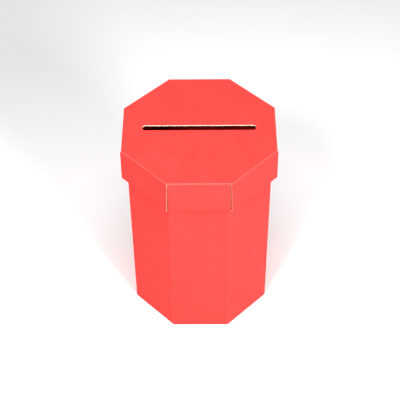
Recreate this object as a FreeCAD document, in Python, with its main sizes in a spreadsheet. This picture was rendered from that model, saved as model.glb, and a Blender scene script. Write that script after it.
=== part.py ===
"""Octagonal donation box of corrugated board: a folded tube, a hinged tuck-in base and a lift-off lid.

Millimetres, +Z up, origin at the centre of the footprint. The front faces -Y. Every panel and flap of
the two blanks is a body of its own, drawn in a frame where its side of the octagon faces -Y and then
turned to its place about the Z axis.
"""
import FreeCAD, Part
import Sketcher
import math
import os

doc = FreeCAD.newDocument("DonationBox")
sheet = doc.addObject("Spreadsheet::Sheet", "Sizes")

SIZES = [
    ("board", 1.5, "thickness of the corrugated board"),
    ("fold_inside", 0.4, "inside radius of a creased fold"),
    ("body_flats", 176, "width of the body across opposite flats, outside"),
    ("body_height", 276, "height of the body's rim above the ground"),
    ("seam_width", 22, "width of the glue flap"),
    ("seam_taper", 6, "how much the glue flap narrows at each end"),
    ("seam_relief", 3, "how far the glue flap stops short of the rim and of the tuck tabs"),
    ("base_play", 1.2, "gap between the tuck tabs and the walls"),
    ("base_crease_relief", 3.5, "how far the base crease stops short of the body's corners"),
    ("tuck_height", 18, "height of the tuck tabs above the ground"),
    ("tuck_relief", 2, "how far a tuck tab stops short of the base's corners"),
    ("tuck_slant", 25, "slant of the tuck tabs' ends, in degrees"),
    ("tuck_corner", 5, "corner radius of the tuck tabs"),
    ("lid_play", 0.8, "gap between the lid's linings and the body"),
    ("layer_gap", 0.3, "gap between the layers of a rolled lid wall"),
    ("skirt_depth", 46, "depth of the lid's diagonal walls below the lid's top"),
    ("wall_lift", 1, "how far the lid's four single walls stop above the hems' feet"),
    ("wall_overrun", 1.84, "how far the diagonal walls run past the lid's corners"),
    ("corner_tab_length", 30, "length of the lid's corner tabs"),
    ("corner_tab_taper", 5, "how much a corner tab narrows at its top and bottom"),
    ("corner_tab_relief", 1, "how far a corner tab stops short of the fold above it and the hem below it"),
    ("flap_corner", 4, "corner radius of the glue flap and of the corner tabs"),
    ("lining_relief", 1.5, "how far hems and linings stop short of the lid's corners"),
    ("lining_gap", 1, "gap between the linings and the lid's top"),
    ("lining_taper", 3, "how much a lining narrows towards the lid's top"),
    ("lining_corner", 3, "corner radius of the linings"),
    ("slot_length", 139.5, "length of the posting slot, end to end"),
    ("slot_width", 9, "width of the posting slot"),
    ("slot_setback", 2, "how far the posting slot sits behind the middle of the lid"),
]

for row, (alias, value, meaning) in enumerate(SIZES, 1):
    sheet.set("A%d" % row, meaning)
    sheet.set("B%d" % row, str(value))
    sheet.setAlias("B%d" % row, alias)
doc.recompute()

# Sizes that follow from the driving ones, as expressions.
HALF_TURN = "tan(22.5 deg)"
FOLD = "(Sizes.board + Sizes.fold_inside)"
TANGENT = "(%s * %s)" % (FOLD, HALF_TURN)
BODY = "(Sizes.body_flats / 2)"
BODY_INSIDE = "(%s - Sizes.board)" % BODY
LID_TOP = "(Sizes.body_height + Sizes.board)"
LINING_INSIDE = "(%s + Sizes.lid_play)" % BODY
LINING_OUTSIDE = "(%s + Sizes.board)" % LINING_INSIDE
TAB_OUTSIDE = "(%s + Sizes.layer_gap + Sizes.board)" % LINING_OUTSIDE
LID_INSIDE = "(%s + Sizes.layer_gap)" % TAB_OUTSIDE
LID = "(%s + Sizes.board)" % LID_INSIDE
HEM_FOOT = "(%s - Sizes.skirt_depth)" % LID_TOP
HEM_TOP = "(%s + %s)" % (HEM_FOOT, FOLD)
TUCK_OUTSIDE = "(%s - Sizes.base_play)" % BODY_INSIDE
TUCK_INSIDE = "(%s - Sizes.board)" % TUCK_OUTSIDE

SIDES = ["front", "front_right", "right", "back_right", "back", "back_left", "left", "front_left"]
STRAIGHT_SIDES = ["front", "right", "back", "left"]
DIAGONAL_SIDES = ["front_right", "back_right", "back_left", "front_left"]
BACK = "back"
SEAM_SIDE = "back_left"

FULL_TURN = 360
COUNTER_CLOCKWISE = 1
CLOCKWISE = -1
TINY = 1e-9

pieces = []


def number(formula):
    """The present value of an expression on the sheet's sizes."""
    return float(pieces[-1].evalExpression(formula))


def minus(formula):
    return "-(%s)" % formula


def start_piece(label, side):
    """A new body, turned about Z so that the frame's front is the named side of the octagon."""
    body = doc.addObject("PartDesign::Body", label)
    body.Label = label
    turn = FreeCAD.Rotation(FreeCAD.Vector(0, 0, 1), SIDES.index(side) * FULL_TURN / len(SIDES))
    body.Placement = FreeCAD.Placement(FreeCAD.Vector(0, 0, 0), turn)
    pieces.append(body)
    return body


def start_sketch(body, name, plane, height="0"):
    """A sketch on one of the body's own origin planes, moved along the plane's normal by height."""
    sketch = body.newObject("Sketcher::SketchObject", name)
    support = [feature for feature in body.Origin.OriginFeatures if feature.Role == plane][0]
    sketch.AttachmentSupport = [(support, "")]
    sketch.MapMode = "FlatFace"
    sketch.setExpression("AttachmentOffset.Base.z", height)
    return sketch


def pin(sketch, geometry, end, formula, kind, axis):
    """Dimension an end of a line or arc, or an arc's centre, from the sketch's origin along X or Y."""
    value = number(formula)
    if abs(value) < TINY:
        sketch.addConstraint(Sketcher.Constraint("PointOnObject", geometry, end, axis))
        return
    if value > 0:
        index = sketch.addConstraint(Sketcher.Constraint(kind, -1, 1, geometry, end, value))
        sketch.setExpression("Constraints[%d]" % index, formula)
    else:
        index = sketch.addConstraint(Sketcher.Constraint(kind, geometry, end, -1, 1, -value))
        sketch.setExpression("Constraints[%d]" % index, minus(formula))


def draw(sketch, corners, arcs={}):
    """Draw a closed outline through corners given as pairs of expressions.

    arcs holds, by the number of the corner that it starts from, (centre, direction) for each round
    stretch. The other stretches are straight.
    """
    points = [FreeCAD.Vector(number(across), number(along), 0) for across, along in corners]
    starts, ends = [], []
    for place, start in enumerate(points):
        end = points[(place + 1) % len(points)]
        if place not in arcs:
            geometry = sketch.addGeometry(Part.LineSegment(start, end))
            starts.append((geometry, 1))
            ends.append((geometry, 2))
            continue
        (centre_across, centre_along), direction = arcs[place]
        centre = FreeCAD.Vector(number(centre_across), number(centre_along), 0)
        first, last = (start, end) if direction == COUNTER_CLOCKWISE else (end, start)
        circle = Part.Circle(centre, FreeCAD.Vector(0, 0, 1), start.distanceToPoint(centre))
        first_angle = math.atan2(first.y - centre.y, first.x - centre.x)
        last_angle = math.atan2(last.y - centre.y, last.x - centre.x)
        geometry = sketch.addGeometry(Part.ArcOfCircle(circle, first_angle, last_angle))
        starts.append((geometry, 1 if direction == COUNTER_CLOCKWISE else 2))
        ends.append((geometry, 2 if direction == COUNTER_CLOCKWISE else 1))
        pin(sketch, geometry, 3, centre_across, "DistanceX", -2)
    for place, (geometry, end) in enumerate(starts):
        before, before_end = ends[place - 1]
        sketch.addConstraint(Sketcher.Constraint("Coincident", before, before_end, geometry, end))
        pin(sketch, geometry, end, corners[place][0], "DistanceX", -2)
        pin(sketch, geometry, end, corners[place][1], "DistanceY", -1)


def pad(body, sketch, length, symmetric=False):
    feature = body.newObject("PartDesign::Pad", sketch.Name + "_pad")
    feature.Profile = sketch
    feature.SideType = "Symmetric" if symmetric else "One side"
    feature.setExpression("Length", length)
    doc.recompute()


def cut_upwards(body, sketch):
    """Cut a sketch on the ground plane up through the whole piece, and see that it took something away."""
    volume = body.Shape.Volume
    feature = body.newObject("PartDesign::Pocket", sketch.Name + "_cut")
    feature.Profile = sketch
    feature.Type = "ThroughAll"
    feature.Reversed = True
    doc.recompute()
    if body.Shape.Volume > volume - TINY:
        raise RuntimeError("%s cut nothing" % feature.Name)


def round_corners(body, radius, wanted):
    """Round the edges through the board's thickness whose middle point is wanted."""
    base = body.Tip
    names = []
    for count, edge in enumerate(base.Shape.Edges, 1):
        along = edge.Vertexes[-1].Point - edge.Vertexes[0].Point
        through_board = abs(along.x) < TINY and abs(along.z) < TINY and abs(along.y) > TINY
        if through_board and wanted(edge.CenterOfMass):
            names.append("Edge%d" % count)
    feature = body.newObject("PartDesign::Fillet", body.Name + "_round")
    feature.Base = (base, names)
    feature.setExpression("Radius", radius)
    doc.recompute()


def bend_corners(turned, sign, centre_across, apothem):
    """Corners and arcs of a fold through 45 degrees, from a flat whose outside is at apothem.

    The first corner is the outside end of the flat, and sign says towards which end it bends.
    """
    centre_along = minus("%s - %s" % (apothem, FOLD))
    centre = (centre_across, centre_along)
    step = "%d * sin(45 deg)" % sign
    outer = ("%s + %s * %s" % (centre_across, FOLD, step), "%s - %s * cos(45 deg)" % (centre_along, FOLD))
    inner = ("%s + Sizes.fold_inside * %s" % (centre_across, step),
             "%s - Sizes.fold_inside * cos(45 deg)" % centre_along)
    corners = [(centre_across, minus(apothem)), outer, inner,
               (centre_across, minus("%s - Sizes.board" % apothem))]
    arcs = {turned: (centre, sign), turned + 2: (centre, -sign)}
    return corners, arcs


def body_panel(side):
    """A wall of the body with its fold to the next wall. The back one ends at the seam and the base."""
    body = start_piece(side + "_panel", side)
    fold_end = "(%s * %s - %s)" % (BODY, HALF_TURN, TANGENT)
    begin = minus("%s * %s" % (BODY, HALF_TURN)) if side == SEAM_SIDE else minus(fold_end)
    if side == BACK:
        sketch = start_sketch(body, side + "_section", "XY_Plane", "Sizes.board")
        finish = "(sqrt(2) * %s - %s - %s)" % (BODY_INSIDE, BODY, TANGENT)
        draw(sketch, [(begin, minus(BODY)), (finish, minus(BODY)),
                      (finish, minus(BODY_INSIDE)), (begin, minus(BODY_INSIDE))])
        pad(body, sketch, "Sizes.body_height - Sizes.board")
        return
    sketch = start_sketch(body, side + "_section", "XY_Plane")
    fold, arcs = bend_corners(1, 1, fold_end, BODY)
    draw(sketch, [(begin, minus(BODY))] + fold + [(begin, minus(BODY_INSIDE))], arcs)
    pad(body, sketch, "Sizes.body_height")


def side_flap(label, side, sign, outside, parent_outside, fold_span, flap_span, length, taper):
    """A tapered flap inside one side of the octagon, folded from the end of the side beside it.

    sign is 1 where the flap grows towards +X from its fold, and -1 where it grows towards -X. The spans
    are the lowest and highest levels of the fold and of the flap where it leaves the fold.
    """
    body = start_piece(label, side)
    crease = "(%d * (%s - sqrt(2) * %s + %s))" % (sign, outside, parent_outside, TANGENT)
    tip = "(%s + %d * %s)" % (crease, sign, length)
    fold_low, fold_high = fold_span
    fold_sketch = start_sketch(body, label + "_fold", "XY_Plane", fold_low)
    draw(fold_sketch, *bend_corners(0, -sign, crease, outside))
    pad(body, fold_sketch, "%s - %s" % (fold_high, fold_low))
    low, high = flap_span
    flap_sketch = start_sketch(body, label + "_outline", "XZ_Plane", "%s - Sizes.board" % outside)
    draw(flap_sketch, [(crease, low), (tip, "%s + %s" % (low, taper)),
                       (tip, "%s - %s" % (high, taper)), (crease, high)])
    pad(body, flap_sketch, "Sizes.board")
    tip_across = number(tip)
    round_corners(body, "Sizes.flap_corner", lambda middle: abs(middle.x - tip_across) < TINY)


def seam_flap():
    """The glue flap, folded from the back panel and lying inside the back left one above the tuck tabs."""
    low = "(Sizes.tuck_height + Sizes.seam_relief)"
    high = "(Sizes.body_height - Sizes.seam_relief)"
    side_flap("seam_flap", SEAM_SIDE, 1, BODY_INSIDE, BODY, ("Sizes.board", "Sizes.body_height"),
              (low, high), "Sizes.seam_width", "Sizes.seam_taper")


def base_panel():
    """The octagonal floor. Its neck runs under the back panel to the crease at the outside face."""
    body = start_piece("base_panel", "front")
    wide = TUCK_INSIDE
    narrow = "(%s * %s)" % (TUCK_INSIDE, HALF_TURN)
    neck = "(%s * %s - Sizes.base_crease_relief)" % (BODY, HALF_TURN)
    right_half = [(narrow, minus(wide)), (wide, minus(narrow)), (wide, narrow), (narrow, wide),
                  (neck, wide), (neck, BODY)]
    left_half = [(minus(across), along) for across, along in reversed(right_half)]
    sketch = start_sketch(body, "base_outline", "XY_Plane")
    draw(sketch, right_half + left_half)
    pad(body, sketch, "Sizes.board")


def tuck_tab(side):
    """A tab creased up from the floor. Its ends slant, so that neighbours clear when folded in."""
    label = side + "_tuck_tab"
    body = start_piece(label, side)
    foot = "(%s * %s - Sizes.tuck_relief)" % (TUCK_INSIDE, HALF_TURN)
    tip = "(%s - (Sizes.tuck_height - Sizes.board) * tan(Sizes.tuck_slant * 1 deg))" % foot
    sketch = start_sketch(body, label + "_outline", "XZ_Plane", TUCK_INSIDE)
    draw(sketch, [(minus(foot), "0"), (foot, "0"), (foot, "Sizes.board"), (tip, "Sizes.tuck_height"),
                  (minus(tip), "Sizes.tuck_height"), (minus(foot), "Sizes.board")])
    pad(body, sketch, "Sizes.board")
    top = number("Sizes.tuck_height")
    round_corners(body, "Sizes.tuck_corner", lambda middle: abs(middle.z - top) < TINY)


def lid_top():
    """The lid's octagon up to the start of its folds, with the posting slot."""
    body = start_piece("lid_top", "front")
    wide = "(%s - %s)" % (LID, FOLD)
    narrow = "(%s * %s)" % (wide, HALF_TURN)
    right_half = [(narrow, minus(wide)), (wide, minus(narrow)), (wide, narrow), (narrow, wide)]
    left_half = [(minus(across), along) for across, along in reversed(right_half)]
    sketch = start_sketch(body, "lid_outline", "XY_Plane", "Sizes.body_height")
    draw(sketch, right_half + left_half)
    pad(body, sketch, "Sizes.board")
    radius = "(Sizes.slot_width / 2)"
    straight = "(Sizes.slot_length / 2 - %s)" % radius
    middle = "Sizes.slot_setback"
    near = "(%s - %s)" % (middle, radius)
    far = "(%s + %s)" % (middle, radius)
    slot = start_sketch(body, "slot_outline", "XY_Plane")
    draw(slot, [(minus(straight), near), (straight, near), (straight, far), (minus(straight), far)],
         {1: ((straight, middle), COUNTER_CLOCKWISE), 3: ((minus(straight), middle), COUNTER_CLOCKWISE)})
    cut_upwards(body, slot)


def lid_wall(side, half_width, foot):
    """A skirt wall: the fold over the lid's edge, mitred to its neighbours' folds, and the flat below."""
    label = "lid_%s_wall" % side
    body = start_piece(label, side)
    fold_low = "(%s - %s)" % (LID_TOP, FOLD)
    centre = (minus("%s - %s" % (LID, FOLD)), fold_low)
    fold = start_sketch(body, label + "_fold", "YZ_Plane")
    draw(fold, [(centre[0], LID_TOP), (minus(LID), fold_low), (minus(LID_INSIDE), fold_low),
                (centre[0], "Sizes.body_height")],
         {0: (centre, COUNTER_CLOCKWISE), 2: (centre, CLOCKWISE)})
    pad(body, fold, "2 * %s * %s" % (LID, HALF_TURN), symmetric=True)
    inside = "(%s - 2 * %s)" % (LID, FOLD)
    outside = "(%s + %s)" % (LID, FOLD)
    for sign in (1, -1):
        trim = start_sketch(body, "%s_mitre_%s" % (label, "right" if sign > 0 else "left"), "XY_Plane")
        near = "%d * %s * %s" % (sign, inside, HALF_TURN)
        far = "%d * %s * %s" % (sign, outside, HALF_TURN)
        draw(trim, [(near, minus(inside)), (far, minus(outside)), (far, minus(inside))])
        cut_upwards(body, trim)
    flat = start_sketch(body, label + "_flat", "YZ_Plane")
    draw(flat, [(minus(LID), foot), (minus(LID_INSIDE), foot), (minus(LID_INSIDE), fold_low),
                (minus(LID), fold_low)])
    pad(body, flat, "2 * (%s)" % half_width, symmetric=True)


def straight_lid_wall(side):
    """A single wall between two of the lid's rolled walls, and the corner tabs creased from its ends."""
    half_width = "sqrt(2) * %s - %s - %s" % (TAB_OUTSIDE, LID, TANGENT)
    lid_wall(side, half_width, "(%s + Sizes.wall_lift)" % HEM_FOOT)
    low = "(%s + Sizes.corner_tab_relief)" % HEM_TOP
    high = "(%s - %s - Sizes.corner_tab_relief)" % (LID_TOP, FOLD)
    place = SIDES.index(side)
    for end, step in (("right", 1), ("left", -1)):
        neighbour = SIDES[(place + step) % len(SIDES)]
        side_flap("lid_%s_tab_%s" % (side, end), neighbour, step, TAB_OUTSIDE, LID, (low, high),
                  (low, high), "Sizes.corner_tab_length", "Sizes.corner_tab_taper")


def rolled_lid_wall(side):
    """A diagonal wall with its raw ends past the corners, its rolled hem and the lining behind the tabs."""
    lid_wall(side, "%s * %s + Sizes.wall_overrun" % (LID, HALF_TURN), HEM_TOP)
    half_length = "(%s * %s - Sizes.lining_relief)" % (LID, HALF_TURN)

    hem = start_piece("lid_%s_hem" % side, side)
    outer = minus("%s - %s" % (LID, FOLD))
    inner = minus("%s + %s" % (LINING_INSIDE, FOLD))
    hem_floor = "(%s + Sizes.board)" % HEM_FOOT
    section = start_sketch(hem, "lid_%s_hem_section" % side, "YZ_Plane")
    draw(section, [(minus(LID), HEM_TOP), (outer, HEM_FOOT), (inner, HEM_FOOT),
                   (minus(LINING_INSIDE), HEM_TOP), (minus(LINING_OUTSIDE), HEM_TOP),
                   (inner, hem_floor), (outer, hem_floor), (minus(LID_INSIDE), HEM_TOP)],
         {0: ((outer, HEM_TOP), COUNTER_CLOCKWISE), 2: ((inner, HEM_TOP), COUNTER_CLOCKWISE),
          4: ((inner, HEM_TOP), CLOCKWISE), 6: ((outer, HEM_TOP), CLOCKWISE)})
    pad(hem, section, "2 * %s" % half_length, symmetric=True)

    lining = start_piece("lid_%s_lining" % side, side)
    high = "(Sizes.body_height - Sizes.lining_gap)"
    tip = "(%s - Sizes.lining_taper)" % half_length
    outline = start_sketch(lining, "lid_%s_lining_outline" % side, "XZ_Plane", LINING_INSIDE)
    draw(outline, [(minus(half_length), HEM_TOP), (half_length, HEM_TOP), (tip, high), (minus(tip), high)])
    pad(lining, outline, "Sizes.board")
    top = number(high)
    round_corners(lining, "Sizes.lining_corner", lambda middle: abs(middle.z - top) < TINY)


for side in SIDES:
    body_panel(side)
seam_flap()
base_panel()
for side in SIDES:
    if side != BACK:
        tuck_tab(side)
lid_top()
for side in STRAIGHT_SIDES:
    straight_lid_wall(side)
for side in DIAGONAL_SIDES:
    rolled_lid_wall(side)
doc.recompute()

for item in doc.Objects:
    if "Invalid" in item.State or "Error" in item.State:
        raise RuntimeError("%s failed: %s" % (item.Label, item.State))
for piece in pieces:
    if piece.Shape.isNull() or not piece.Shape.isValid() or len(piece.Shape.Solids) != 1:
        raise RuntimeError("%s is not one sound solid" % piece.Label)

os.makedirs("parts", exist_ok=True)
for piece in pieces:
    piece.Shape.exportStep("parts/%s.step" % piece.Label)
print("%d pieces, %.1f cm3 of board" % (len(pieces), sum(piece.Shape.Volume for piece in pieces) / 1000))
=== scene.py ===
# %% [markdown]
# # An octagonal donation box of corrugated board
# The real box is two sheets of thin corrugated board, printed red, die-cut, creased and folded. One makes
# an eight-sided tube with a base that tucks in, the other a lift-off lid with a posting slot. This lesson
# rebuilds every panel as real board, two paper liners with a fluted sheet between them, on top of the
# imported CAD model, which fixes where each piece is and how it moves.

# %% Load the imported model
import math

import bmesh
import bpy
from mathutils import Matrix, Vector


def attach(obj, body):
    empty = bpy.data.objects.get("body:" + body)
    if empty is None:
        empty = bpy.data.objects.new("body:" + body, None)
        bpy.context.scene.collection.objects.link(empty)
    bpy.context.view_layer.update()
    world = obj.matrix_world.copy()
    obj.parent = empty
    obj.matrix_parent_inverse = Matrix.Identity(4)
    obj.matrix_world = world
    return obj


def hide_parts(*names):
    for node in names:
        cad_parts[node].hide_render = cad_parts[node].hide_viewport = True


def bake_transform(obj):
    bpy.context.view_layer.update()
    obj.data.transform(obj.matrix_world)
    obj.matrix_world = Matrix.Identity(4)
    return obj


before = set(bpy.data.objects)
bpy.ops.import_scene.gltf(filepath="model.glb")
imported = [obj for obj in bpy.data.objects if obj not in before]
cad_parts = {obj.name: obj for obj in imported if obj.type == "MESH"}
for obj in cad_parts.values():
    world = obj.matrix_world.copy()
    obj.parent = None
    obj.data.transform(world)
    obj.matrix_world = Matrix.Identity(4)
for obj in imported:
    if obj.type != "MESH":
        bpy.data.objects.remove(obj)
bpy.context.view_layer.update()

# %% [markdown]
# ## Sizes
# The CAD nodes are the drawing. A panel is easiest to measure with its own side of the octagon turned to
# the front, so that across is X, outwards is -Y and up is Z. Reading the sizes from the nodes keeps this
# script right if the box is packed again with other dimensions.

# %% Measure the nodes
SIDES = ["front", "front_right", "right", "back_right", "back", "back_left", "left", "front_left"]
STRAIGHT_SIDES = SIDES[0::2]
DIAGONAL_SIDES = SIDES[1::2]
CORNER = math.radians(45)
HALF_TURN = math.tan(CORNER / 2)


def turn_of(side):
    return SIDES.index(side) * CORNER


def extent(node, side="front"):
    """Lowest and highest corner of a CAD node, with the named side of the octagon turned to the front."""
    turned_back = Matrix.Rotation(-turn_of(side), 3, "Z")
    points = [turned_back @ vertex.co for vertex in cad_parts[node].data.vertices]
    return [Vector([pick(point[axis] for point in points) for axis in range(3)]) for pick in (min, max)]


top_low, top_high = extent("lid_top")
BOARD = top_high.z - top_low.z
RIM = top_low.z
LID_TOP = top_high.z
BODY = -extent("front_panel")[0].y
LID = -extent("lid_front_wall")[0].y
FOLD = LID + top_low.y
QUARTER_FOLD = FOLD * math.pi / 2
CORNER_FOLD = FOLD * CORNER
print("board %.2f mm, fold radius %.2f mm, body %.1f mm and lid %.1f mm across the flats"
      % (BOARD * 1000, FOLD * 1000, BODY * 2000, LID * 2000))

# %% [markdown]
# ## Building nodes by script
# Materials and Geometry Nodes are both trees of nodes. One small helper adds a node, sets its options and
# fills its inputs, either with a value or with a wire from another node, so that each tree below reads from
# top to bottom like a recipe.

# %% A helper for node trees


def add_node(tree, kind, options=None, **wires):
    """Add a node. Words in wires name its inputs, with _ for a space, and in0, in1... count them."""
    node = tree.nodes.new(kind)
    for name, value in (options or {}).items():
        setattr(node, name, value)
    for name, value in wires.items():
        counted = name.startswith("in") and name[2:].isdigit()
        socket = node.inputs[int(name[2:])] if counted else node.inputs[name.replace("_", " ")]
        if isinstance(value, bpy.types.NodeSocket):
            tree.links.new(value, socket)
        else:
            socket.default_value = value
    return node


def calculate(tree, operation, *values):
    """One step of arithmetic on values or wires."""
    wires = {"in%d" % place: value for place, value in enumerate(values)}
    return add_node(tree, "ShaderNodeMath", {"operation": operation}, **wires).outputs[0]


def blend_colours(tree, share, first, second):
    """A mix of two colours, with this share of the second."""
    mix = add_node(tree, "ShaderNodeMix", {"data_type": "RGBA"}, in0=share, in6=first, in7=second)
    return mix.outputs[2]


# %% [markdown]
# ## Printed liner
# The outside is white-lined paper printed solid red with a thin satin varnish. Up close the ink is not
# even: it follows the paper's cloudy formation, the liner shows the flutes underneath as a faint
# washboard, and where the board is creased the ink stretches and cracks, so folds look lighter. On the
# lid's single walls the folds are made lighter still, as a painted highlight. The pattern belongs to the
# flat blank, so the material reads a UV map in metres whose first axis runs across the flutes, and the
# share of crease comes from an attribute painted on the mesh.

# %% Printed red, outside and inside
BLANK_UV = "blank"
CREASE = "crease"
FLUTE_PITCH = 0.00323
NOISE_ROUGHNESS = 0.55
# Each pattern has a size across and along the flutes, in metres, and a number of finer layers.
CLOUD = (0.022, 0.034, 3.0)
GRAIN = (0.0009, 0.0012, 2.0)
FIBRE = (0.00025, 0.0016, 2.0)
CRACKS = (0.0011, 0.0019, 3.0)
INK_CLOUD, INK_GRAIN, INK_RIDGE, INK_START = 0.75, 0.5, 0.06, -0.12
CRACK_GAIN, CRACK_START = 1.3, 0.2
CRACK_ROUGHNESS = 0.2
FIBRE_HEIGHT = 0.35
PRINT_RELIEF = 0.00002


def paper_noise(tree, uv, across, along, detail):
    """Noise on the blank, with features of the given sizes in metres across and along the flutes."""
    stretched = add_node(tree, "ShaderNodeMapping", Vector=uv, Scale=(1 / across, 1 / along, 1))
    noise = add_node(tree, "ShaderNodeTexNoise", {"noise_dimensions": "2D"}, Vector=stretched.outputs[0],
                     Scale=1.0, Detail=detail, Roughness=NOISE_ROUGHNESS)
    return noise.outputs["Fac"]


def clamp(tree, value):
    return add_node(tree, "ShaderNodeClamp", Value=value).outputs[0]


def new_material(name):
    """An empty material, its tree and the place on the blank."""
    material = bpy.data.materials.new(name)
    material.use_nodes = True
    tree = material.node_tree
    tree.nodes.clear()
    uv = add_node(tree, "ShaderNodeUVMap", {"uv_map": BLANK_UV}).outputs[0]
    return material, tree, uv


def close_material(tree, colour, roughness, height, relief, specular):
    """Wire colour, roughness and a bump of the given relief in metres into one Principled surface."""
    bump = add_node(tree, "ShaderNodeBump", Strength=1.0, Distance=relief, Height=height)
    surface = add_node(tree, "ShaderNodeBsdfPrincipled", Base_Color=colour, Roughness=roughness,
                       Normal=bump.outputs[0])
    surface.inputs["Specular IOR Level"].default_value = specular
    add_node(tree, "ShaderNodeOutputMaterial", Surface=surface.outputs[0])


def printed_liner(name, ink, thin_ink, worn_and_highlight, smooth, rough, specular, washboard):
    """Ink that is thin on clouds, grain and ridges, lighter on creases from wear and a painted highlight,
    and varies from smooth to rough.
    """
    material, tree, uv = new_material(name)
    cloud, grain, fibre = [paper_noise(tree, uv, *pattern) for pattern in (CLOUD, GRAIN, FIBRE)]
    across = add_node(tree, "ShaderNodeSeparateXYZ", Vector=uv).outputs[0]
    flute = calculate(tree, "SINE", calculate(tree, "MULTIPLY", across, 2 * math.pi / FLUTE_PITCH))
    ridge = calculate(tree, "MULTIPLY_ADD", flute, 0.5, 0.5)

    thin = calculate(tree, "MULTIPLY_ADD", grain, INK_GRAIN, INK_START)
    thin = calculate(tree, "MULTIPLY_ADD", cloud, INK_CLOUD, thin)
    thin = calculate(tree, "MULTIPLY_ADD", ridge, INK_RIDGE, thin)
    colour = blend_colours(tree, clamp(tree, thin), ink, thin_ink)
    crease = add_node(tree, "ShaderNodeAttribute", {"attribute_name": CREASE}).outputs["Fac"]
    cracks = calculate(tree, "MULTIPLY_ADD", paper_noise(tree, uv, *CRACKS), CRACK_GAIN, CRACK_START)
    cracked_and_highlight = clamp(tree, calculate(tree, "MULTIPLY", crease, cracks))
    colour = blend_colours(tree, cracked_and_highlight, colour, worn_and_highlight)

    uneven = calculate(tree, "MULTIPLY_ADD", grain, rough - smooth, smooth)
    roughness = calculate(tree, "MULTIPLY_ADD", cracked_and_highlight, CRACK_ROUGHNESS, uneven)
    waves = calculate(tree, "MULTIPLY", ridge, washboard)
    height = calculate(tree, "MULTIPLY_ADD", fibre, FIBRE_HEIGHT, waves)
    close_material(tree, colour, roughness, height, PRINT_RELIEF, specular)
    return material


print_outside = printed_liner("red_print", ink=(0.86, 0.034, 0.030, 1), thin_ink=(0.90, 0.051, 0.045, 1),
                              worn_and_highlight=(0.92, 0.15, 0.13, 1), smooth=0.45, rough=0.62, specular=0.055,
                              washboard=0.6)
print_inside = printed_liner("red_inside", ink=(0.78, 0.018, 0.015, 1), thin_ink=(0.84, 0.030, 0.025, 1),
                             worn_and_highlight=(0.78, 0.16, 0.13, 1), smooth=0.68, rough=0.85, specular=0.08,
                             washboard=0.9)
print("two printed liners: a satin outside and a duller inside")

# %% [markdown]
# ## Cut paper and fluting
# Where the board is cut, the ink stops and the paper shows: a cream liner outside, brown on the side that
# is glued to the fluted sheet, and a fluted sheet and an inner liner that are as brown. That brown is
# painted darker than the paper, as painted shade in the open flutes of a raw end. Where a die presses the
# edge as it cuts, the liner's white coating is drawn over it. All are matt, with fine fibres along the cut
# and darker flecks of recycled pulp.

# %% Paper for the cut edges
CUT_FIBRE = (0.0003, 0.0009, 3.0)
PULP = (0.003, 0.004, 2.0)
FLECKS = (0.0007, 0.0007, 0.0)
DARK_FIBRE, DARK_PULP, DARK_START = 0.6, 0.5, -0.05
FLECK_LEVEL, FLECK_SHARE = 0.7, 0.35
PAPER_ROUGHNESS, FIBRE_ROUGHNESS = 0.8, 0.15
PAPER_RELIEF = 0.00003
PAPER_SPECULAR = 0.2


def raw_paper(name, pale, dark, fleck):
    """Bare paper, pale to dark with its fibres and pulp, with flecks where a noise is high."""
    material, tree, uv = new_material(name)
    fibre, pulp = [paper_noise(tree, uv, *pattern) for pattern in (CUT_FIBRE, PULP)]
    share = calculate(tree, "MULTIPLY_ADD", pulp, DARK_PULP, DARK_START)
    share = calculate(tree, "MULTIPLY_ADD", fibre, DARK_FIBRE, share)
    colour = blend_colours(tree, clamp(tree, share), pale, dark)
    spots = calculate(tree, "GREATER_THAN", paper_noise(tree, uv, *FLECKS), FLECK_LEVEL)
    colour = blend_colours(tree, calculate(tree, "MULTIPLY", spots, FLECK_SHARE), colour, fleck)
    roughness = calculate(tree, "MULTIPLY_ADD", fibre, FIBRE_ROUGHNESS, PAPER_ROUGHNESS)
    close_material(tree, colour, roughness, fibre, PAPER_RELIEF, PAPER_SPECULAR)
    return material


cut_liner = raw_paper("cut_liner", pale=(0.76, 0.64, 0.47, 1), dark=(0.58, 0.46, 0.31, 1),
                      fleck=(0.34, 0.24, 0.14, 1))
pressed_liner = raw_paper("pressed_liner", pale=(0.88, 0.81, 0.69, 1), dark=(0.78, 0.68, 0.53, 1),
                          fleck=(0.55, 0.43, 0.28, 1))
# Brown kraft, painted darker than the paper itself as shade in the open flutes of a raw end.
fluting_paper = raw_paper("fluting_paper", pale=(0.30, 0.195, 0.105, 1), dark=(0.21, 0.13, 0.065, 1),
                          fleck=(0.13, 0.075, 0.035, 1))
FINISHES = [print_outside, print_inside, cut_liner, pressed_liner, fluting_paper]
OUTSIDE, INSIDE, CUT, PRESSED, FLUTING_AND_SHADE = range(len(FINISHES))
print("%d finishes for every piece of board" % len(FINISHES))

# %% [markdown]
# ## Folding a blank
# A folded piece is drawn flat, as the die-cutter's blank is, and then wrapped along a track: straight runs
# and folds, each a length on the printed face and the angle that it turns through. A point of the blank is
# along the track, across it (parallel to the creases) and deep into the board. Because the printed face is
# always outside, every fold turns to the left and the inside lies on the left.

# %% Points along a track
PLAN, SECTION = "seen from above", "seen from the side"


def on_track(track, along, depth):
    """The folded place of a point of the board's section."""
    (first, second), heading, runs = track
    rest = along
    for number, (length, turn) in enumerate(runs, 1):
        step = rest if number == len(runs) else min(rest, length)
        if turn:
            radius = length / turn
            turned = heading + step / radius
            first += radius * (math.sin(turned) - math.sin(heading))
            second -= radius * (math.cos(turned) - math.cos(heading))
            heading = turned
        else:
            first += step * math.cos(heading)
            second += step * math.sin(heading)
        rest -= step
        if rest <= 0:
            break
    return first - depth * math.sin(heading), second + depth * math.cos(heading)


def folds_of(track):
    """Where each fold of a track starts and how long it is."""
    found, start = [], 0.0
    for length, turn in track[2]:
        if turn:
            found.append((start, length))
        start += length
    return found


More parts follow.
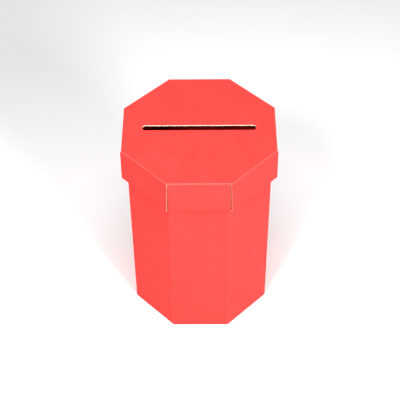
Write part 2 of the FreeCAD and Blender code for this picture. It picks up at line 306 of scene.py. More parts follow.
# %% [markdown]
# ## The fluted sheet
# Between the liners runs a sheet of paper bent into waves. It follows one rule everywhere, so it is a job
# for Geometry Nodes: a grid with a column for every step of the wave is stretched, ray by ray, between the
# two sides of the piece's outline, lifted by a sine, and given the paper's thickness. The outline comes in
# as a fence of upright faces for the rays to hit, and the flutes run along Y.

# %% Geometry Nodes for the flutes
LINER = 0.00025
FLUTE_PAPER = 0.0002
FLUTE_STEPS = 8
CUT_BACK = 0.00008
REACH = 1.0
WELD = 1e-7


def fluting_tree():
    """The node group that grows a fluted sheet inside a fence."""
    tree = bpy.data.node_groups.new("Fluted sheet", "GeometryNodeTree")
    sockets = {"Fence": "Geometry", "Start": "Float", "End": "Float", "Pitch": "Float", "Steps": "Int",
               "Height": "Float", "Paper": "Float", "Cut back": "Float", "Material": "Material"}
    for name, kind in sockets.items():
        tree.interface.new_socket(name, in_out="INPUT", socket_type="NodeSocket" + kind)
    tree.interface.new_socket("Sheet", in_out="OUTPUT", socket_type="NodeSocketGeometry")
    given = tree.nodes.new("NodeGroupInput").outputs

    span = calculate(tree, "SUBTRACT", given["End"], given["Start"])
    middle = calculate(tree, "MULTIPLY", calculate(tree, "ADD", given["End"], given["Start"]), 0.5)
    waves = calculate(tree, "DIVIDE", span, given["Pitch"])
    columns = calculate(tree, "CEIL", calculate(tree, "MULTIPLY_ADD", waves, given["Steps"], 1.0))
    grid = add_node(tree, "GeometryNodeMeshGrid", Size_X=span, Size_Y=1.0, Vertices_X=columns,
                    Vertices_Y=2).outputs["Mesh"]

    position = add_node(tree, "GeometryNodeInputPosition").outputs[0]
    place = add_node(tree, "ShaderNodeSeparateXYZ", Vector=position)
    across = calculate(tree, "ADD", place.outputs[0], middle)
    end = calculate(tree, "SIGN", place.outputs[1])
    origin = add_node(tree, "ShaderNodeCombineXYZ", X=across, Y=calculate(tree, "MULTIPLY", end, REACH))
    direction = add_node(tree, "ShaderNodeCombineXYZ", Y=calculate(tree, "MULTIPLY", end, -1.0))
    ray = add_node(tree, "GeometryNodeRaycast", Target_Geometry=given["Fence"],
                   Source_Position=origin.outputs[0], Ray_Direction=direction.outputs[0],
                   Ray_Length=2 * REACH)
    hit = add_node(tree, "ShaderNodeSeparateXYZ", Vector=ray.outputs["Hit Position"])
    trimmed = calculate(tree, "MULTIPLY", end, given["Cut back"])
    along = calculate(tree, "SUBTRACT", hit.outputs[1], trimmed)

    angle = calculate(tree, "MULTIPLY", calculate(tree, "DIVIDE", across, given["Pitch"]), 2 * math.pi)
    wave = calculate(tree, "MULTIPLY", calculate(tree, "SINE", angle), given["Height"])
    low = calculate(tree, "MULTIPLY_ADD", given["Paper"], -0.5, wave)
    bent = add_node(tree, "ShaderNodeCombineXYZ", X=across, Y=along, Z=low)
    sheet = add_node(tree, "GeometryNodeSetPosition", Geometry=grid, Position=bent.outputs[0]).outputs[0]
    missed = add_node(tree, "FunctionNodeBooleanMath", {"operation": "NOT"}, in0=ray.outputs["Is Hit"])
    kept = add_node(tree, "GeometryNodeDeleteGeometry", Geometry=sheet,
                    Selection=missed.outputs[0]).outputs[0]

    upper = add_node(tree, "GeometryNodeExtrudeMesh", Mesh=kept, Offset_Scale=given["Paper"],
                     Individual=False)
    lower = add_node(tree, "GeometryNodeFlipFaces", Mesh=kept)
    both = tree.nodes.new("GeometryNodeJoinGeometry")
    tree.links.new(lower.outputs[0], both.inputs[0])
    tree.links.new(upper.outputs[0], both.inputs[0])
    closed = add_node(tree, "GeometryNodeMergeByDistance", Geometry=both.outputs[0], Distance=WELD)
    real = add_node(tree, "GeometryNodeRealizeInstances", Geometry=closed.outputs[0])
    dressed = add_node(tree, "GeometryNodeSetMaterial", Geometry=real.outputs[0],
                       Material=given["Material"])
    tree.links.new(dressed.outputs[0], tree.nodes.new("NodeGroupOutput").inputs[0])
    return tree


fluted = fluting_tree()
FLUTE_HEIGHT = (BOARD - 2 * LINER - FLUTE_PAPER) / 2
print("fluting waves of %.2f mm, %.2f mm high" % (FLUTE_PITCH * 1000, FLUTE_HEIGHT * 2000))

# %% Grow the flutes inside an outline


def fluted_sheet(outline):
    """A plain mesh of the fluted sheet inside an outline whose flutes run along its second axis."""
    count = len(outline)
    points = [(across, along, level) for level in (-BOARD, BOARD) for across, along in outline]
    walls = [(n, (n + 1) % count, (n + 1) % count + count, n + count) for n in range(count)]
    fence_mesh = bpy.data.meshes.new("fence")
    fence_mesh.from_pydata(points, [], walls)
    fence = bpy.data.objects.new("fence", fence_mesh)
    bpy.context.scene.collection.objects.link(fence)
    modifier = fence.modifiers.new("flutes", "NODES")
    modifier.node_group = fluted
    edges = [across for across, along in outline]
    sizes = {"Start": min(edges) + CUT_BACK, "End": max(edges) - CUT_BACK, "Pitch": FLUTE_PITCH,
             "Steps": FLUTE_STEPS, "Height": FLUTE_HEIGHT, "Paper": FLUTE_PAPER, "Cut back": CUT_BACK,
             "Material": fluting_paper}
    for item in fluted.interface.items_tree:
        if item.name in sizes:
            modifier[item.identifier] = sizes[item.name]
    ready = fence.evaluated_get(bpy.context.evaluated_depsgraph_get())
    mesh = bpy.data.meshes.new_from_object(ready)
    bpy.data.objects.remove(fence)
    bpy.data.meshes.remove(fence_mesh)
    return mesh


# %% [markdown]
# ## One piece of board
# Every panel is made the same way: two liners cut to the outline, the fluted sheet between them where the
# board isn't crushed by a fold, then the whole piece wrapped along its track. Only the printed face takes
# ink; the other faces of a liner are bare paper, so a cut edge shows its layers, with the brown ones
# painted darker as shade in the flutes.

# %% Liners, flutes and finishing
FOLD_STEPS = 10
SHARP = math.radians(30)
# How closely the wear and the painted highlight gather round the middle of a fold.
CREASE_FOCUS = 26.0


class Board:
    """A piece of board, drawn flat on the blank and wrapped along a track."""

    def __init__(self, track, plane, side, flute, wear_and_highlight=0.0, sway=None, mirror=1):
        """flute is the flutes' direction on the blank, wear_and_highlight how light its folds are from wear
        and a painted highlight; sway shifts it.
        """
        self.track, self.plane, self.sway, self.mirror = track, plane, sway, mirror
        self.turned = Matrix.Rotation(turn_of(side), 3, "Z")
        self.flute, self.wear_and_highlight = Vector(flute).normalized(), wear_and_highlight
        self.mesh = bmesh.new()
        self.uv = self.mesh.loops.layers.uv.new(BLANK_UV)
        self.crease = self.mesh.verts.layers.float.new(CREASE)

    def fold_rows(self):
        """Places along the track where the liners are divided so that they can bend."""
        return [start + length * step / FOLD_STEPS for start, length in folds_of(self.track)
                for step in range(FOLD_STEPS + 1)]

    def corner(self, along, across, depth):
        """The folded place of a point of the blank, as a new vertex."""
        first, second = on_track(self.track, along, depth)
        point = Vector((first, second, across) if self.plane == PLAN else (across, first, second))
        if self.sway:
            point += self.sway(along, point.z)
        point.x *= self.mirror
        vertex = self.mesh.verts.new(self.turned @ point)
        from_folds = [abs(along - start - length / 2) / length for start, length in folds_of(self.track)]
        nearest = min(from_folds, default=math.inf)
        vertex[self.crease] = self.wear_and_highlight * math.exp(-CREASE_FOCUS * nearest * nearest)
        return vertex

    def to_flutes(self, along, across):
        """A place on the blank, measured across and along its flutes."""
        first, second = self.flute
        return (along * second - across * first, along * first + across * second)

    def face(self, vertices, places, finish):
        face = self.mesh.faces.new(vertices)
        face.material_index = finish
        for loop, place in zip(face.loops, places):
            loop[self.uv].uv = self.to_flutes(*place)

    def liner(self, outlines, depths, finish, rim):
        """A sheet of paper with these outlines, ink on the face at the first depth and a bare rim."""
        flat = bmesh.new()
        for outline in outlines:
            ring = [flat.verts.new((along, across, 0)) for along, across in outline]
            for start, end in zip(ring, ring[1:] + ring[:1]):
                flat.edges.new((start, end))
        bmesh.ops.triangle_fill(flat, use_beauty=True, edges=flat.edges[:], normal=(0, 0, 1))
        for row in self.fold_rows():
            everything = flat.verts[:] + flat.edges[:] + flat.faces[:]
            bmesh.ops.bisect_plane(flat, geom=everything, dist=WELD, plane_co=(row, 0, 0),
                                   plane_no=(1, 0, 0))
        inked, bare = [{v: self.corner(v.co.x, v.co.y, depth) for v in flat.verts} for depth in depths]
        for face in flat.faces:
            places = [v.co.xy for v in face.verts]
            self.face([inked[v] for v in face.verts], places, finish)
            self.face([bare[v] for v in reversed(face.verts)], places[::-1], FLUTING_AND_SHADE)
        for edge in flat.edges:
            if edge.is_boundary:
                start, end = edge.verts
                around = [start.co.xy, end.co.xy, end.co.xy, start.co.xy]
                self.face([inked[start], inked[end], bare[end], bare[start]], around, rim)
        flat.free()

    def liners(self, outlines, inner_outlines=None):
        """The outer liner and the inner one, each with its print."""
        self.liner(outlines, (0.0, LINER), OUTSIDE, CUT)
        # The inner liner's cut rim takes the same brown, painted dark as shade beside the flutes.
        self.liner(inner_outlines or outlines, (BOARD, BOARD - LINER), INSIDE, FLUTING_AND_SHADE)

    def rim(self, edge, inner, depths, finish):
        """A band of paper that closes a cut edge, from the edge to an inner line with as many points."""
        rings = [[self.corner(*place, depth) for place in line] for line, depth in
                 ((edge, depths[0]), (edge, depths[1]), (inner, depths[1]), (inner, depths[0]))]
        count = len(edge)
        for this, other in zip(rings, rings[1:] + rings[:1]):
            for n in range(count):
                after = (n + 1) % count
                places = [edge[n], edge[after], inner[after], inner[n]]
                self.face([this[n], this[after], other[after], other[n]], places, finish)

    def flutes(self, outline):
        """The fluted sheet inside this outline, between the liners."""
        grown = fluted_sheet([self.to_flutes(*place) for place in outline])
        first, second = self.flute
        blank = []
        for vertex in grown.vertices:
            across_flutes, along_flutes, level = vertex.co
            along = across_flutes * second + along_flutes * first
            across = along_flutes * second - across_flutes * first
            blank.append((along, across, BOARD / 2 + level))
        placed = [self.corner(*place) for place in blank]
        for polygon in grown.polygons:
            corners = list(polygon.vertices)
            self.face([placed[n] for n in corners], [blank[n][:2] for n in corners], FLUTING_AND_SHADE)
        bpy.data.meshes.remove(grown)

    def finish(self, name, slot):
        """Turn the faces outwards, mark the sharp edges and make the object."""
        bmesh.ops.recalc_face_normals(self.mesh, faces=self.mesh.faces[:])
        for face in self.mesh.faces:
            face.smooth = True
        for edge in self.mesh.edges:
            edge.smooth = len(edge.link_faces) == 2 and edge.calc_face_angle() < SHARP
        data = bpy.data.meshes.new(name)
        self.mesh.to_mesh(data)
        self.mesh.free()
        for material in FINISHES:
            data.materials.append(material)
        piece = bpy.data.objects.new(name, data)
        bpy.context.scene.collection.objects.link(piece)
        return piece

    def stand_for(self, node, body, slot):
        """Finish the piece and put it in the place of a CAD node."""
        piece = self.finish(node + "_board", slot)
        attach(piece, body)
        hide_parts(node)


def rectangle(first, last, low, high):
    return [(first, low), (last, low), (last, high), (first, high)]


def trapezium(first, first_half, last, last_half):
    return [(first, -first_half), (last, -last_half), (last, last_half), (first, first_half)]


def rounded(corners, radii, steps=6):
    """An outline with arcs in place of the corners whose radius isn't zero."""
    outline = []
    for place, (corner, radius) in enumerate(zip(corners, radii)):
        corner = Vector(corner)
        if not radius:
            outline.append(tuple(corner))
            continue
        towards = [(Vector(corners[place - 1]) - corner).normalized(),
                   (Vector(corners[(place + 1) % len(corners)]) - corner).normalized()]
        half = towards[0].angle(towards[1]) / 2
        centre = corner + (towards[0] + towards[1]).normalized() * radius / math.sin(half)
        spoke = corner + towards[0] * radius / math.tan(half) - centre
        sweep = math.copysign(math.pi - 2 * half, towards[0].cross(towards[1]))
        for step in range(steps + 1):
            outline.append(tuple(centre + Matrix.Rotation(-sweep * step / steps, 2) @ spoke))
    return outline


# %% [markdown]
# ## The body
# The tube is one blank of eight panels with vertical creases and vertical flutes, which carry the weight.
# Each panel is a piece with the fold to the next one. The back panel ends at the glue seam, where the next
# panel starts with a raw cut edge, and at the bottom it leaves room for the crease to the base.

# %% Eight wall panels
BODY_WEAR = 0.32
CREASE_BEAD = 0.0004
UPRIGHT = (0, 1)
flat_end = (BODY - FOLD) * HALF_TURN


def body_panel(side):
    low, high = extent(side + "_panel", side)
    bottom = low.z
    if side == "back":
        bottom += CREASE_BEAD
        runs = [(high.x - low.x, 0)]
    else:
        runs = [(flat_end - low.x, 0), (CORNER_FOLD, CORNER)]
    board = Board(((low.x, -BODY), 0.0, runs), PLAN, side, UPRIGHT, BODY_WEAR)
    board.liners([rectangle(0.0, sum(length for length, turn in runs), bottom, RIM)])
    board.flutes(rectangle(0.0, runs[0][0], bottom, RIM))
    board.stand_for(side + "_panel", "body", "body_board")


for side in SIDES:
    body_panel(side)
print("%d wall panels" % len(SIDES))

# %% [markdown]
# The glue flap is creased from the back panel and stuck inside the next one. Its ends are tapered and its
# corners rounded so that it slides in without catching. Near the floor it stops above the tuck tabs, but
# its fold runs the whole height of the corner.

# %% The glue flap
SEAM_TAPER = 0.006
FLAP_CORNER = 0.004
SEAM_RELIEF = 0.003
back_end = extent("back_panel", "back")[1].x
tuck_low, tuck_high = extent("front_tuck_tab")
seam_low, seam_high = extent("seam_flap", "back_left")
seam_crease = BODY - BOARD - math.sqrt(2) * BODY + FOLD * HALF_TURN
SEAM_WIDTH = seam_high.x - seam_crease
flap_low = tuck_high.z + SEAM_RELIEF
flap_high = RIM - SEAM_RELIEF
seam_tip = CORNER_FOLD + SEAM_WIDTH
seam_track = ((back_end, -BODY), 0.0, [(CORNER_FOLD, CORNER), (SEAM_WIDTH, 0)])
seam = Board(seam_track, PLAN, "back", UPRIGHT, BODY_WEAR)
seam_flat = rounded([(CORNER_FOLD, flap_low), (seam_tip, flap_low + SEAM_TAPER),
                     (seam_tip, flap_high - SEAM_TAPER), (CORNER_FOLD, flap_high)],
                    [0, FLAP_CORNER, FLAP_CORNER, 0])
seam.liners([[(0.0, seam_low.z), (CORNER_FOLD, seam_low.z)] + seam_flat
             + [(CORNER_FOLD, RIM), (0.0, RIM)]])
seam.flutes(seam_flat)
seam.stand_for("seam_flap", "body", "body_board")
print("glue flap %.1f mm wide" % (SEAM_WIDTH * 1000))

# %% [markdown]
# ## The base
# The floor is an octagon creased to the back panel, and seven tabs creased up from it stand inside the
# walls. All of it belongs to the same blank as the body, so the flutes run from front to back on the floor,
# upright in the front tab, level in the side tabs and slanting in the others.

# %% The floor
FLOOR_WIDE = -extent("base_panel")[0].y
FLOOR_NARROW = FLOOR_WIDE * HALF_TURN
neck_end = BODY - BOARD - CREASE_BEAD
NECK = max(abs(v.co.x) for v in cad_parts["base_panel"].data.vertices if v.co.y > neck_end)
right_half = [(-FLOOR_WIDE, FLOOR_NARROW), (-FLOOR_NARROW, FLOOR_WIDE), (FLOOR_NARROW, FLOOR_WIDE),
              (FLOOR_WIDE, FLOOR_NARROW), (FLOOR_WIDE, NECK), (neck_end, NECK)]
floor_outline = right_half + [(along, -across) for along, across in reversed(right_half)]
floor = Board(((0.0, 0.0), 0.0, [(BODY, 0)]), SECTION, "front", (1, 0))
floor.liners([floor_outline])
floor.flutes(floor_outline)
floor.stand_for("base_panel", "base", "base_board")
print("floor %.1f mm across the flats" % (FLOOR_WIDE * 2000))

# %% Seven tuck tabs
TUCK_CORNER = 0.005
TUCK_SLANT = math.radians(25)
# Room for a tab to turn without touching the floor.
TUCK_CLEAR = 0.00002
tuck_rise = tuck_high.z - BOARD - TUCK_CLEAR


def tuck_tab(side):
    foot = tuck_high.x
    tip = foot - tuck_rise * math.tan(TUCK_SLANT)
    outline = rounded([(0.0, -tip), (0.0, tip), (tuck_rise, foot), (tuck_rise, -foot)],
                      [TUCK_CORNER, TUCK_CORNER, 0, 0])
    turn = turn_of(side)
    board = Board(((tuck_low.y, tuck_high.z), -math.pi / 2, [(tuck_rise, 0)]), SECTION, side,
                  (math.cos(turn), math.sin(turn)))
    board.liners([outline])
    board.flutes(outline)
    board.stand_for(side + "_tuck_tab", side + "_tuck", "base_board")


TUCKED_SIDES = [side for side in SIDES if side != "back"]
for side in TUCKED_SIDES:
    tuck_tab(side)
print("%d tuck tabs" % len(TUCKED_SIDES))

# %% [markdown]
# A crease is board crushed flat, so it bends like a hinge. These strips bridge the moving creases: each is
# a closed section drawn at rest. The tabs turn about the inside of their crease, so their strip is a
# quarter round. The base turns about the outside, and the inside gathers in a small bead.

# %% Creases that move
QUARTER_STEPS = [n * math.pi / 2 / FOLD_STEPS for n in range(FOLD_STEPS + 1)]


def crease_strip(name, section, half, side):
    """A bar across a crease. Its section lists places along and up, and each next face's finish."""
    board = Board(((0.0, 0.0), 0.0, [(1.0, 0)]), SECTION, side, (1, 0))
    ends = []
    for across in (-half, half):
        ends.append([board.corner(along, across, up) for along, up, finish in section])
    count = len(section)
    for n in range(count):
        after = (n + 1) % count
        places = rectangle(section[n][0], section[after][0], -half, half)
        board.face([ends[0][n], ends[0][after], ends[1][after], ends[1][n]], places, section[n][2])
    for ring, across in zip(ends, (-half, half)):
        board.face(ring, [(along, across + up) for along, up, finish in section], CUT)
    piece = board.finish(name, "base_board")
    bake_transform(piece)


tuck_inside = tuck_high.y
quarter_round = [(tuck_inside - BOARD * math.sin(angle), BOARD - BOARD * math.cos(angle), OUTSIDE)
                 for angle in QUARTER_STEPS]
quarter_round[-1] = quarter_round[-1][:2] + (CUT,)
tuck_section = quarter_round + [(tuck_inside, BOARD, CUT)]
for side in TUCKED_SIDES:
    crease_strip(side + "_tuck_crease", tuck_section, tuck_high.x, side)

bead_top = BOARD + CREASE_BEAD
nose = [(-BODY + CREASE_BEAD * (1 - math.cos(angle)), CREASE_BEAD * (1 - math.sin(angle)), OUTSIDE)
        for angle in QUARTER_STEPS]
base_section = [(-BODY, bead_top, OUTSIDE)] + nose
base_section += [(-neck_end, 0.0, CUT), (-neck_end, BOARD, INSIDE),
                 (-BODY + BOARD, BOARD, INSIDE), (-BODY + BOARD, bead_top, CUT)]
crease_strip("base_crease", base_section, NECK, "back")
print("%d moving creases" % (len(TUCKED_SIDES) + 1))

# %% [markdown]
# ## The lid's top
# The octagon with the posting slot. The die presses the board as it punches the slot, so the upper liner
# is drawn down over most of the cut as a pale rim, and the flutes' ends show below it. The fluted sheet
# can't have a hole in it, because each ray finds only the first side of the outline, so it is grown in two
# halves.

# %% The top and its slot
LID_WEAR = 0.33
# The outline lies within this band of the edge, and the points further in belong to the slot.
EDGE_BAND = 4 * FOLD
slot_points = [v.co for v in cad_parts["lid_top"].data.vertices if v.co.xy.length < LID - EDGE_BAND]
slot_front, slot_back = [pick(point.y for point in slot_points) for pick in (min, max)]
SLOT_LENGTH = 2 * max(point.x for point in slot_points)
SLOT_WIDTH = slot_back - slot_front
SLOT_STEPS = 16
RIM_PAPER = 0.0002
RIM_DEPTH = 0.0012
slot_radius = SLOT_WIDTH / 2
slot_straight = SLOT_LENGTH / 2 - slot_radius
slot_line = -(slot_front + slot_back) / 2
top_wide = LID - FOLD
top_narrow = top_wide * HALF_TURN


def slot_half(sign, margin=0.0):
    """Half of a line round the slot, from end to end, on the front (1) or back (-1) of the blank."""
    radius = slot_radius + margin
    arc = [n * math.pi / 2 / SLOT_STEPS for n in range(SLOT_STEPS + 1)]
    first = [(slot_line + sign * radius * math.sin(angle), -slot_straight - radius * math.cos(angle))
             for angle in arc]
    return first + [(along, -across) for along, across in reversed(first)]


def round_slot(margin=0.0):
    """Both halves, with the ends that they share only once."""
    return slot_half(1, margin) + slot_half(-1, margin)[-2:0:-1]


def top_half(sign):
    """Half of the octagon, on the front (1) or back (-1) of the blank, from the line of the slot."""
    return [(slot_line, top_wide), (sign * top_narrow, top_wide), (sign * top_wide, top_narrow),
            (sign * top_wide, -top_narrow), (sign * top_narrow, -top_wide), (slot_line, -top_wide)]


top = Board(((0.0, LID_TOP), math.pi, [(top_wide, 0)]), SECTION, "front", (1, 0))
top.liners([top_half(1)[1:-1] + top_half(-1)[-2:0:-1], round_slot()])
top.rim(round_slot(), round_slot(RIM_PAPER), (LINER, RIM_DEPTH), PRESSED)
for sign in (1, -1):
    top.flutes(top_half(sign) + slot_half(sign, RIM_PAPER))
top.stand_for("lid_top", "lid", "lid_board")
print("slot %.0f by %.1f mm, %.1f mm behind the middle"
      % (SLOT_LENGTH * 1000, SLOT_WIDTH * 1000, -slot_line * 1000))

# %% [markdown]
# ## The lid's single walls
# The front, right, back and left walls are one layer of board. Nothing holds their lower edge, so it
# springs outwards a little. Their corner tabs lie inside the rolled corners, against the lining, while the
# outer layer there spreads away, so a narrow dark groove beside each raw corner widens downwards. The
# folds over the lid's edge are mitred where they meet.

# %% Walls that spring outwards
LEAN = 0.0007
TAB_DRAW = 0.0003
TAB_CURL = 0.0002
TIGHT_INSIDE = 0.0001
TIGHT_FOLD = BOARD + TIGHT_INSIDE
# How light the single walls' folds are: wear, plus a painted highlight on the fold over the lid's edge, so
# they are lighter than the other walls' folds.
SINGLE_WEAR_AND_HIGHLIGHT = 0.6
MITRE_STEPS = 6
wall_low = extent("lid_front_wall")[0]
fold_level = LID_TOP - FOLD
single_leg = fold_level - wall_low.z
tab_low, tab_high = extent("lid_front_tab_right", "front_right")
TAB_OUTSIDE = -tab_low.y
SINGLE_HALF = math.sqrt(2) * TAB_OUTSIDE - LID - TIGHT_FOLD * HALF_TURN
tab_fold = TIGHT_FOLD * CORNER
TAB_LENGTH = tab_high.x - (TAB_OUTSIDE - math.sqrt(2) * LID + TIGHT_FOLD * HALF_TURN)


def wall_sway(along, level):
    """How far a single wall leans outwards at one level."""
    return Vector((0.0, -LEAN, 0.0)) * max(0.0, (fold_level - level) / single_leg)


def tab_sway(along, level):
    """The same for its corner tabs, which draw in from their fold to their tip, against the lining."""
    share = max(0.0, (along - tab_fold) / TAB_LENGTH)
    drawn = TAB_CURL + share * (math.sqrt(2) * TAB_DRAW + LEAN - TAB_CURL)
    return Vector((-drawn, -LEAN, 0.0)) * max(0.0, (fold_level - level) / single_leg)


def wall_outline(fold_radius, half_above, half_below, leg):
    """The mitred fold at one depth of the board, and the wall below it."""
    edge = []
    for n in range(MITRE_STEPS + 1):
        angle = n * math.pi / 2 / MITRE_STEPS
        edge.append((FOLD * angle, HALF_TURN * (LID - FOLD + fold_radius * math.sin(angle))))
    edge += [(QUARTER_FOLD, half_above), (QUARTER_FOLD + leg, half_below)]
    return edge + [(along, -across) for along, across in reversed(edge)]


def wall_track(*runs):
    """The fold over the lid's edge, and what comes below it."""
    return ((-(LID - FOLD), LID_TOP), math.pi, [(QUARTER_FOLD, math.pi / 2)] + list(runs))


def single_wall(side):
    turn = turn_of(side)
    flute = (-math.cos(turn), math.sin(turn))
    board = Board(wall_track((single_leg, 0)), SECTION, side, flute, SINGLE_WEAR_AND_HIGHLIGHT, wall_sway)
    foot_half = SINGLE_HALF + tab_sway(0.0, wall_low.z).x
    shape = (SINGLE_HALF, foot_half, single_leg)
    board.liners([wall_outline(FOLD, *shape)], [wall_outline(FOLD - BOARD, *shape)])
    board.flutes(trapezium(QUARTER_FOLD, SINGLE_HALF, QUARTER_FOLD + single_leg, foot_half))
    board.stand_for("lid_%s_wall" % side, "lid", "lid_board")


for side in STRAIGHT_SIDES:
    single_wall(side)
print("%d single walls, %.1f mm deep" % (len(STRAIGHT_SIDES), (LID_TOP - wall_low.z) * 1000))

# %% Corner tabs
TAB_TAPER = 0.005


def corner_tab(side, end):
    turn = turn_of(side)
    flute = (abs(math.sin(turn)), abs(math.cos(turn)))
    tip = tab_fold + TAB_LENGTH
    track = ((SINGLE_HALF, -LID), 0.0, [(tab_fold, CORNER), (TAB_LENGTH, 0)])
    board = Board(track, PLAN, side, flute, LID_WEAR, tab_sway, mirror=1 if end == "right" else -1)
    flat = rounded([(tab_fold, tab_low.z), (tip, tab_low.z + TAB_TAPER),
                    (tip, tab_high.z - TAB_TAPER), (tab_fold, tab_high.z)],
                   [0, FLAP_CORNER, FLAP_CORNER, 0])
    board.liners([[(0.0, tab_low.z)] + flat + [(0.0, tab_high.z)]])
    board.flutes(flat)
    board.stand_for("lid_%s_tab_%s" % (side, end), "lid", "lid_board")


for side in STRAIGHT_SIDES:
    for end in ("right", "left"):
        corner_tab(side, end)
print("%d corner tabs, %.0f mm long" % (2 * len(STRAIGHT_SIDES), TAB_LENGTH * 1000))

# %% [markdown]
# ## The lid's rolled walls
# Each diagonal wall folds down, rolls in at its hem and runs up again inside as a lining, with two corner
# tabs caught between its layers. That roll locks the lid without glue. Three thicknesses of board push
# the outer layer out towards the hem, and it runs past the corners, so its raw ends show there as thin
# lines of bare paper. At the back they start flush with the lid's edge. The flutes cross these walls at 45
# degrees.

# %% Wall, hem and lining on one track
LINING_TAPER = 0.003
LINING_CORNER = 0.003
HEM_WEAR = 0.25
ROLL_SPREAD = 0.0012
# How far the raw ends stop short of the CAD wall's ends at the lid's edge.
FRONT_TRIM = 0.00045
BACK_TRIM = 0.0013
hem_high = extent("lid_front_right_hem", "front_right")[1]
lining_low, lining_high = extent("lid_front_right_lining", "front_right")
rolled_high = extent("lid_front_right_wall", "front_right")[1]
rolled_leg = fold_level - hem_high.z
hem_flat = (LID - FOLD) + (lining_high.y - FOLD)
lining_rise = lining_high.z - lining_low.z
hem_start = QUARTER_FOLD + rolled_leg
lining_start = hem_start + 2 * QUARTER_FOLD + hem_flat
lining_tip = lining_start + lining_rise
rolled = wall_track((rolled_leg, 0), (QUARTER_FOLD, math.pi / 2), (hem_flat, 0),
                    (QUARTER_FOLD, math.pi / 2), (lining_rise, 0))


def roll_sway(along, level):
    """The wall spreads from the lid's edge to its hem, and the hem's floor leads back to the lining."""
    floor_start = hem_start + QUARTER_FOLD
    share = along / hem_start if along < hem_start else 1.0 - (along - floor_start) / hem_flat
    return Vector((0.0, -ROLL_SPREAD, 0.0)) * max(0.0, min(1.0, share))


def rolled_wall(side):
    turn = turn_of(side)
    flute = (-math.cos(turn), math.sin(turn))
    trim = FRONT_TRIM if side.startswith("front") else BACK_TRIM
    high_end, low_end = rolled_high.x - trim, rolled_high.x - ROLL_SPREAD
    wall = Board(rolled, SECTION, side, flute, LID_WEAR, roll_sway)
    shape = (high_end, low_end, rolled_leg)
    wall.liners([wall_outline(FOLD, *shape)], [wall_outline(FOLD - BOARD, *shape)])
    wall.flutes(trapezium(QUARTER_FOLD, high_end, hem_start, low_end))
    wall.stand_for("lid_%s_wall" % side, "lid", "lid_board")

    hem = Board(rolled, SECTION, side, flute, HEM_WEAR, roll_sway)
    hem_end = [(hem_start, low_end), (hem_start + QUARTER_FOLD, low_end),
               (hem_start + QUARTER_FOLD + hem_flat, hem_high.x), (lining_start, hem_high.x)]
    hem.liners([[(along, -across) for along, across in hem_end] + hem_end[::-1]])
    hem.stand_for("lid_%s_hem" % side, "lid", "lid_board")

    lining = Board(rolled, SECTION, side, flute)
    tip = hem_high.x - LINING_TAPER
    outline = rounded(trapezium(lining_start, hem_high.x, lining_tip, tip),
                      [0, LINING_CORNER, LINING_CORNER, 0])
    lining.liners([outline])
    lining.flutes(outline)
    lining.stand_for("lid_%s_lining" % side, "lid", "lid_board")


for side in DIAGONAL_SIDES:
    rolled_wall(side)
print("%d rolled walls with hems and linings" % len(DIAGONAL_SIDES))

# %% [markdown]
# ## Stage, light and camera
# The floor is pale and plain. A small softbox stands high in front on the left and throws soft shadows to
# the right, below the hem and into the slot. A lower one in front on the right makes the front brightest,
# a large one hangs overhead, and a fill comes from all round. The floor is open under the box, where a
# last softbox lights the base, so that it isn't black when it is seen from below. The camera looks down at
# the box from the front with a long lens.

# %% Floor
GROUND_REACH = 4.0
GROUND_GAP = 0.0001
GROUND_MARGIN = 0.001
GROUND_DULL, GROUND_PALE = (0.81, 0.81, 0.81, 1), (0.83, 0.83, 0.83, 1)
GROUND_SPECKLE = 30.0
GROUND_ROUGHNESS = 0.9


def ground_ring(reach):
    """The corners of an octagon on the floor, whose flats are this far from the middle."""
    far = reach / math.cos(CORNER / 2)
    angles = [(n + 0.5) * CORNER for n in range(len(SIDES))]
    return [(far * math.cos(angle), far * math.sin(angle), -GROUND_GAP) for angle in angles]


ground_mesh = bpy.data.meshes.new("studio_floor")
inner = list(range(len(SIDES)))
strips = [(n, n + len(inner), after + len(inner), after) for n, after in zip(inner, inner[1:] + inner[:1])]
ground_mesh.from_pydata(ground_ring(BODY - GROUND_MARGIN) + ground_ring(GROUND_REACH), [], strips)
studio_floor = bpy.data.objects.new("studio_floor", ground_mesh)
bpy.context.scene.collection.objects.link(studio_floor)
ground_paint = bpy.data.materials.new("pale_floor")
ground_paint.use_nodes = True
ground_tree = ground_paint.node_tree
ground_tree.nodes.clear()
spot = add_node(ground_tree, "ShaderNodeTexCoord").outputs["Object"]
speckle = add_node(ground_tree, "ShaderNodeTexNoise", Vector=spot, Scale=GROUND_SPECKLE).outputs["Fac"]
ground_colour = blend_colours(ground_tree, speckle, GROUND_DULL, GROUND_PALE)
matt = add_node(ground_tree, "ShaderNodeBsdfPrincipled", Base_Color=ground_colour,
                Roughness=GROUND_ROUGHNESS)
clear = add_node(ground_tree, "ShaderNodeBsdfTransparent")
underneath = add_node(ground_tree, "ShaderNodeNewGeometry").outputs["Backfacing"]
one_way = add_node(ground_tree, "ShaderNodeMixShader", in0=underneath, in1=matt.outputs[0],
                   in2=clear.outputs[0])
add_node(ground_tree, "ShaderNodeOutputMaterial", Surface=one_way.outputs[0])
ground_mesh.materials.append(ground_paint)
print("floor laid")

# %% Light
scene = bpy.context.scene
scene.view_settings.view_transform = "Standard"
LIGHT_TARGET = Vector((0, 0, 0.16))
FILL = 0.18
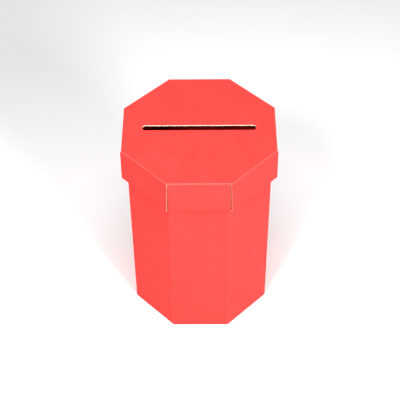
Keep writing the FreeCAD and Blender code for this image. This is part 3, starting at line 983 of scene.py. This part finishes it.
# Each softbox has the way towards it, its distance and size in metres, and its watts.
SOFTBOXES = {"left": ((-0.3, -0.585, 0.755), 1.5, 0.36, 16.5),
             "right": ((0.51, -0.72, 0.47), 1.6, 0.45, 26.5),
             "over": ((0.0, -0.2, 1.0), 1.4, 0.9, 17.0),
             "under": ((-0.2, -0.5, -1.0), 3.0, 1.8, 40.0)}


def softbox(name, way, distance, size, watts):
    """A round softbox some way off, facing the box."""
    light = bpy.data.lights.new(name, "AREA")
    light.shape = "DISK"
    light.size = size
    light.energy = watts
    way = Vector(way).normalized()
    stand = bpy.data.objects.new(name, light)
    stand.location = LIGHT_TARGET + way * distance
    stand.rotation_euler = (-way).to_track_quat("-Z", "Y").to_euler()
    scene.collection.objects.link(stand)


for name, setting in SOFTBOXES.items():
    softbox(name, *setting)
world = bpy.data.worlds.new("studio")
world.use_nodes = True
world.node_tree.nodes.clear()
fill = add_node(world.node_tree, "ShaderNodeBackground", Color=(1, 1, 1, 1), Strength=FILL)
add_node(world.node_tree, "ShaderNodeOutputWorld", Surface=fill.outputs[0])
scene.world = world
print("%d softboxes and a fill" % len(SOFTBOXES))

# %% Camera
ELEVATION = math.radians(46.66)
AZIMUTH = math.radians(0.479)
ROLL = math.radians(-0.608)
CAMERA_TARGET = Vector((0, 0, 0.1510))
CAMERA_DISTANCE = 1.4294
SENSOR_WIDTH = 36.0
FOCAL_LENGTH = 98.73
away = Vector((math.sin(AZIMUTH) * math.cos(ELEVATION), -math.cos(AZIMUTH) * math.cos(ELEVATION),
               math.sin(ELEVATION)))
level_right = Vector((math.cos(AZIMUTH), math.sin(AZIMUTH), 0))
level_up = away.cross(level_right)
right = level_right * math.cos(ROLL) + level_up * math.sin(ROLL)
up = level_up * math.cos(ROLL) - level_right * math.sin(ROLL)
lens = bpy.data.cameras.new("camera")
lens.sensor_width = SENSOR_WIDTH
lens.lens = FOCAL_LENGTH
camera = bpy.data.objects.new("camera", lens)
turned = Matrix((right, up, away)).transposed().to_4x4()
camera.matrix_world = Matrix.Translation(CAMERA_TARGET + away * CAMERA_DISTANCE) @ turned
scene.collection.objects.link(camera)
scene.camera = camera
print("camera %.2f m away" % CAMERA_DISTANCE)
